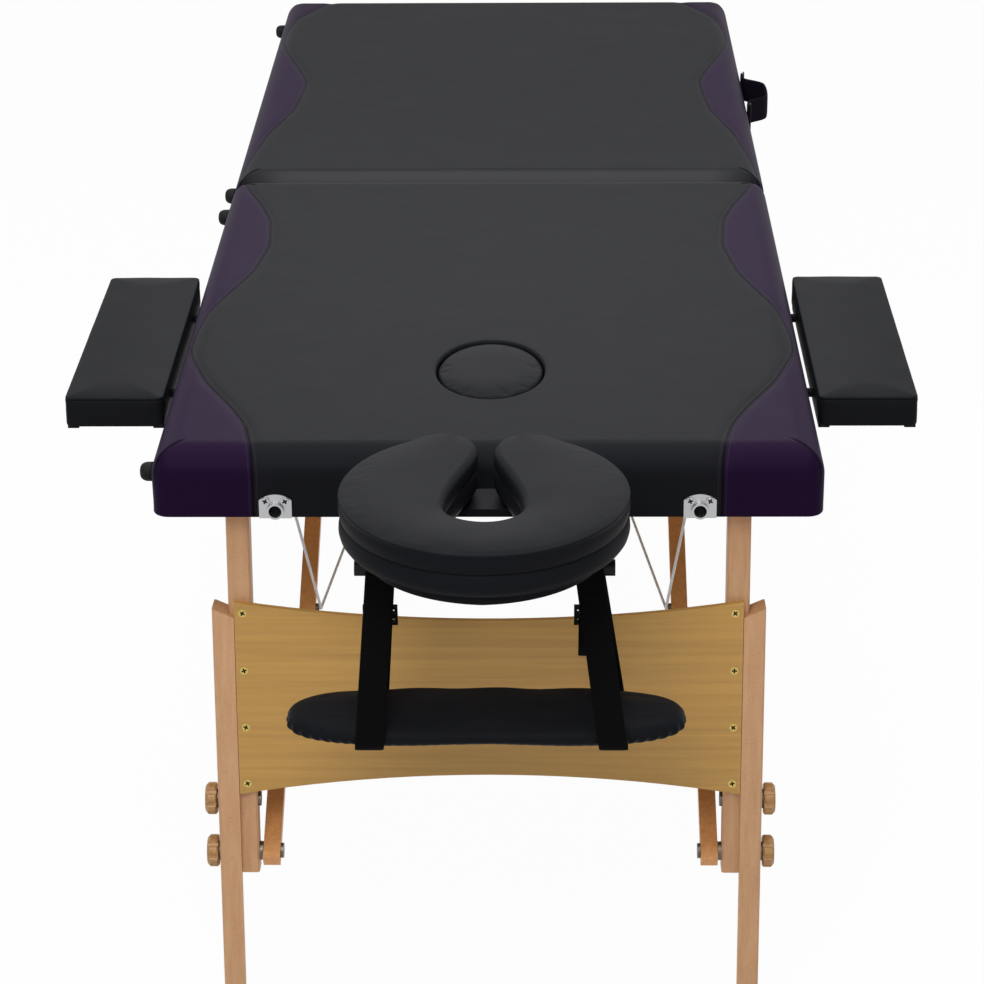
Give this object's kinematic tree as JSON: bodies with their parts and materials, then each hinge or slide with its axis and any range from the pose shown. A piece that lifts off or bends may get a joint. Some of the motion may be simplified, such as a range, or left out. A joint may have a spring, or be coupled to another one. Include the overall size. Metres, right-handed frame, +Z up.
{
  "type": "folding massage table",
  "caption": "Padded wooden massage table that folds in the middle, with height-adjustable splayed legs on knee braces, face hole with plug, ring headrest, strapped arm shelf and side armrests",
  "frame": {"origin": "on the floor under the middle of the overall box, feet at z = 0", "axes": "+X to the right seen from the head end, +Y along the table from the head end to the foot end, +Z up"},
  "size_m": [0.91, 2.22, 0.678],
  "materials": {
    "vinyl_black": "smooth black upholstery vinyl, soft satin",
    "vinyl_purple": "smooth dark purple upholstery vinyl, soft satin",
    "beech": "clear lacquered beech",
    "panel_ply": "clear lacquered ply with long horizontal grain",
    "knob_wood": "turned ochre wood",
    "deck_ply": "bare plywood",
    "steel": "satin zinc-plated steel",
    "brass": "yellow passivated screws",
    "rubber": "matte black rubber",
    "webbing": "black woven webbing",
    "plastic": "matte black plastic",
    "tube": "black painted steel tube"
  },
  "bodies": {
    "head_section": {"head_frame": "beech", "head_deck": "deck_ply", "head_pad": "vinyl_black", "head_skirt": "vinyl_purple", "head_brackets": "steel", "head_bracket_bolts": "steel", "head_cables": "steel", "fold_hinge_head_leaves": "steel", "head_sockets": "steel", "headrest_bushes": "plastic", "head_bumpers": "rubber"},
    "foot_section": {"foot_frame": "beech", "foot_deck": "deck_ply", "foot_pad": "vinyl_black", "foot_skirt": "vinyl_purple", "foot_brackets": "steel", "foot_bracket_bolts": "steel", "foot_cables": "steel", "fold_hinge_foot_leaves": "steel", "foot_bumpers": "rubber", "carry_handle": "webbing"},
    "head_leg_set": {"head_upper_legs": "beech", "head_panel": "panel_ply", "head_panel_screws": "brass", "head_leg_bolts": "steel"},
    "head_lower_links": {"head_lower_links": "beech"},
    "head_upper_links": {"head_upper_links": "beech", "head_knee_bolts": "steel"},
    "head_lower_leg_left": {"head_lower_leg_left": "beech"},
    "head_knob_upper_left": {"head_knob_upper_left": "knob_wood"},
    "head_knob_lower_left": {"head_knob_lower_left": "knob_wood"},
    "head_lower_leg_right": {"head_lower_leg_right": "beech"},
    "head_knob_upper_right": {"head_knob_upper_right": "knob_wood"},
    "head_knob_lower_right": {"head_knob_lower_right": "knob_wood"},
    "foot_leg_set": {"foot_upper_legs": "beech", "foot_panel": "panel_ply", "foot_panel_screws": "brass", "foot_leg_bolts": "steel"},
    "foot_lower_links": {"foot_lower_links": "beech"},
    "foot_upper_links": {"foot_upper_links": "beech", "foot_knee_bolts": "steel"},
    "foot_lower_leg_left": {"foot_lower_leg_left": "beech"},
    "foot_knob_upper_left": {"foot_knob_upper_left": "knob_wood"},
    "foot_knob_lower_left": {"foot_knob_lower_left": "knob_wood"},
    "foot_lower_leg_right": {"foot_lower_leg_right": "beech"},
    "foot_knob_upper_right": {"foot_knob_upper_right": "knob_wood"},
    "foot_knob_lower_right": {"foot_knob_lower_right": "knob_wood"},
    "headrest_carrier": {"headrest_rods": "tube"},
    "headrest": {"headrest_clamps": "plastic", "headrest_board": "deck_ply", "headrest_base": "vinyl_black", "headrest_cushion": "vinyl_black"},
    "arm_shelf": {"arm_shelf": "vinyl_black", "shelf_straps": "webbing", "strap_buckles": "plastic"},
    "armrest_left": {"armrest_pad_left": "vinyl_black", "armrest_board_left": "vinyl_black"},
    "armrest_right": {"armrest_pad_right": "vinyl_black", "armrest_board_right": "vinyl_black"},
    "face_plug": {"face_plug": "vinyl_black"}
  },
  "joints": [
    {"name": "table_fold", "type": "hinge", "parent": "head_section", "child": "foot_section", "pos_m": [0, 0.14703, 0.574], "axis": [-1, 0, 0], "range_deg": [0, 180], "deforming": ["head_cables", "foot_cables"]},
    {"name": "head_leg_fold", "type": "hinge", "parent": "head_section", "child": "head_leg_set", "pos_m": [0, -0.74297, 0.5985], "axis": [1, 0, 0], "range_deg": [0, 95]},
    {"name": "head_lower_link_fold", "type": "hinge", "parent": "head_leg_set", "child": "head_lower_links", "pos_m": [0, -0.77853, 0.19205], "axis": [1, 0, 0], "range_deg": [0, 56.22]},
    {"name": "head_upper_link_fold", "type": "hinge", "parent": "head_section", "child": "head_upper_links", "pos_m": [0, 0.02703, 0.606], "axis": [-1, 0, 0], "range_deg": [0, 27.2]},
    {"name": "head_lower_leg_left_height", "type": "slide", "parent": "head_leg_set", "child": "head_lower_leg_left", "axis": [0, -0.0872, -0.9962], "range_m": [-0.03, 0.15]},
    {"name": "head_knob_upper_left_turn", "type": "hinge", "parent": "head_leg_set", "child": "head_knob_upper_left", "pos_m": [0, -0.7733, 0.25182], "axis": [-1, 0, 0], "continuous": true},
    {"name": "head_knob_lower_left_turn", "type": "hinge", "parent": "head_leg_set", "child": "head_knob_lower_left", "pos_m": [0, -0.77853, 0.19205], "axis": [-1, 0, 0], "continuous": true},
    {"name": "head_lower_leg_right_height", "type": "slide", "parent": "head_leg_set", "child": "head_lower_leg_right", "axis": [0, -0.0872, -0.9962], "range_m": [-0.03, 0.15]},
    {"name": "head_knob_upper_right_turn", "type": "hinge", "parent": "head_leg_set", "child": "head_knob_upper_right", "pos_m": [0, -0.7733, 0.25182], "axis": [1, 0, 0], "continuous": true},
    {"name": "head_knob_lower_right_turn", "type": "hinge", "parent": "head_leg_set", "child": "head_knob_lower_right", "pos_m": [0, -0.77853, 0.19205], "axis": [1, 0, 0], "continuous": true},
    {"name": "foot_leg_fold", "type": "hinge", "parent": "foot_section", "child": "foot_leg_set", "pos_m": [0, 1.03703, 0.5985], "axis": [-1, 0, 0], "range_deg": [0, 95]},
    {"name": "foot_lower_link_fold", "type": "hinge", "parent": "foot_leg_set", "child": "foot_lower_links", "pos_m": [0, 1.07259, 0.19205], "axis": [-1, 0, 0], "range_deg": [0, 56.22]},
    {"name": "foot_upper_link_fold", "type": "hinge", "parent": "foot_section", "child": "foot_upper_links", "pos_m": [0, 0.26703, 0.606], "axis": [1, 0, 0], "range_deg": [0, 27.2]},
    {"name": "foot_lower_leg_left_height", "type": "slide", "parent": "foot_leg_set", "child": "foot_lower_leg_left", "axis": [0, 0.0872, -0.9962], "range_m": [-0.03, 0.15]},
    {"name": "foot_knob_upper_left_turn", "type": "hinge", "parent": "foot_leg_set", "child": "foot_knob_upper_left", "pos_m": [0, 1.06736, 0.25182], "axis": [-1, 0, 0], "continuous": true},
    {"name": "foot_knob_lower_left_turn", "type": "hinge", "parent": "foot_leg_set", "child": "foot_knob_lower_left", "pos_m": [0, 1.07259, 0.19205], "axis": [-1, 0, 0], "continuous": true},
    {"name": "foot_lower_leg_right_height", "type": "slide", "parent": "foot_leg_set", "child": "foot_lower_leg_right", "axis": [0, 0.0872, -0.9962], "range_m": [-0.03, 0.15]},
    {"name": "foot_knob_upper_right_turn", "type": "hinge", "parent": "foot_leg_set", "child": "foot_knob_upper_right", "pos_m": [0, 1.06736, 0.25182], "axis": [1, 0, 0], "continuous": true},
    {"name": "foot_knob_lower_right_turn", "type": "hinge", "parent": "foot_leg_set", "child": "foot_knob_lower_right", "pos_m": [0, 1.07259, 0.19205], "axis": [1, 0, 0], "continuous": true},
    {"name": "headrest_pull_out", "type": "slide", "parent": "head_section", "child": "headrest_carrier", "axis": [0, -1, 0], "range_m": [0, 0.055]},
    {"name": "headrest_tilt", "type": "hinge", "parent": "headrest_carrier", "child": "headrest", "pos_m": [0, -0.94797, 0.597], "axis": [1, 0, 0], "range_deg": [-6, 25]},
    {"name": "shelf_swing", "type": "hinge", "parent": "headrest_carrier", "child": "arm_shelf", "pos_m": [0, -0.94797, 0.597], "axis": [1, 0, 0], "range_deg": [-15, 15]},
    {"name": "armrest_left_pull_out", "type": "slide", "parent": "head_section", "child": "armrest_left", "axis": [-1, 0, 0], "range_m": [0, 0.045]},
    {"name": "armrest_right_pull_out", "type": "slide", "parent": "head_section", "child": "armrest_right", "axis": [1, 0, 0], "range_m": [0, 0.045]},
    {"name": "face_plug_lift", "type": "slide", "parent": "head_section", "child": "face_plug", "axis": [0, 0, 1], "range_m": [0, 0.06]}
  ],
  "couplings": [
    {"joint": "head_leg_fold", "follows": "table_fold", "ratio": 0.52778},
    {"joint": "head_lower_link_fold", "follows": "table_fold", "ratio": 0.31235},
    {"joint": "head_upper_link_fold", "follows": "table_fold", "ratio": 0.15109},
    {"joint": "foot_leg_fold", "follows": "table_fold", "ratio": 0.52778},
    {"joint": "foot_lower_link_fold", "follows": "table_fold", "ratio": 0.31235},
    {"joint": "foot_upper_link_fold", "follows": "table_fold", "ratio": 0.15109}
  ]
}
